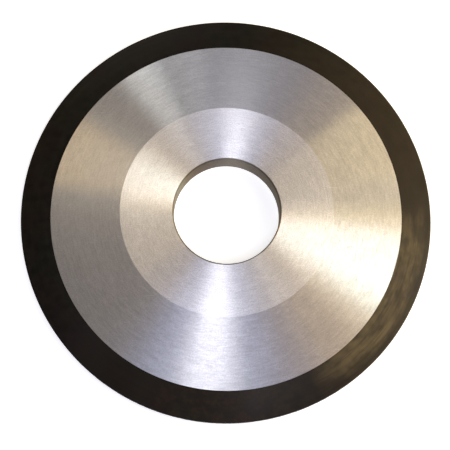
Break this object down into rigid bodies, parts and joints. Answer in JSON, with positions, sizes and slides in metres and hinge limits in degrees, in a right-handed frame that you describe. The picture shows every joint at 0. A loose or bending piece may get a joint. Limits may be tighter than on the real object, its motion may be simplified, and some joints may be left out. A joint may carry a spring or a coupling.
{
  "type": "diamond grinding wheel",
  "caption": "Single-taper diamond grinding wheel: turned aluminium core with a plain centre bore and a dark resin-bond rim whose flat side carries the diamond layer.",
  "frame": {"origin": "on the bore's axis, in the plane of the working face that the wheel lies on", "axes": "+Z along the bore, from the flat diamond side to the tapered side; the wheel is round, so +X and +Y are any two radii at right angles"},
  "size_m": [0.125, 0.125, 0.011],
  "materials": {
    "core": "fine turned, concentric tool marks",
    "backing_ring": "satin dark resin, moulded and ground",
    "diamond_layer": "gritty dressed resin bond with diamond grains"
  },
  "bodies": {
    "root": {"core": "core", "backing_ring": "backing_ring", "diamond_layer": "diamond_layer"}
  },
  "joints": []
}
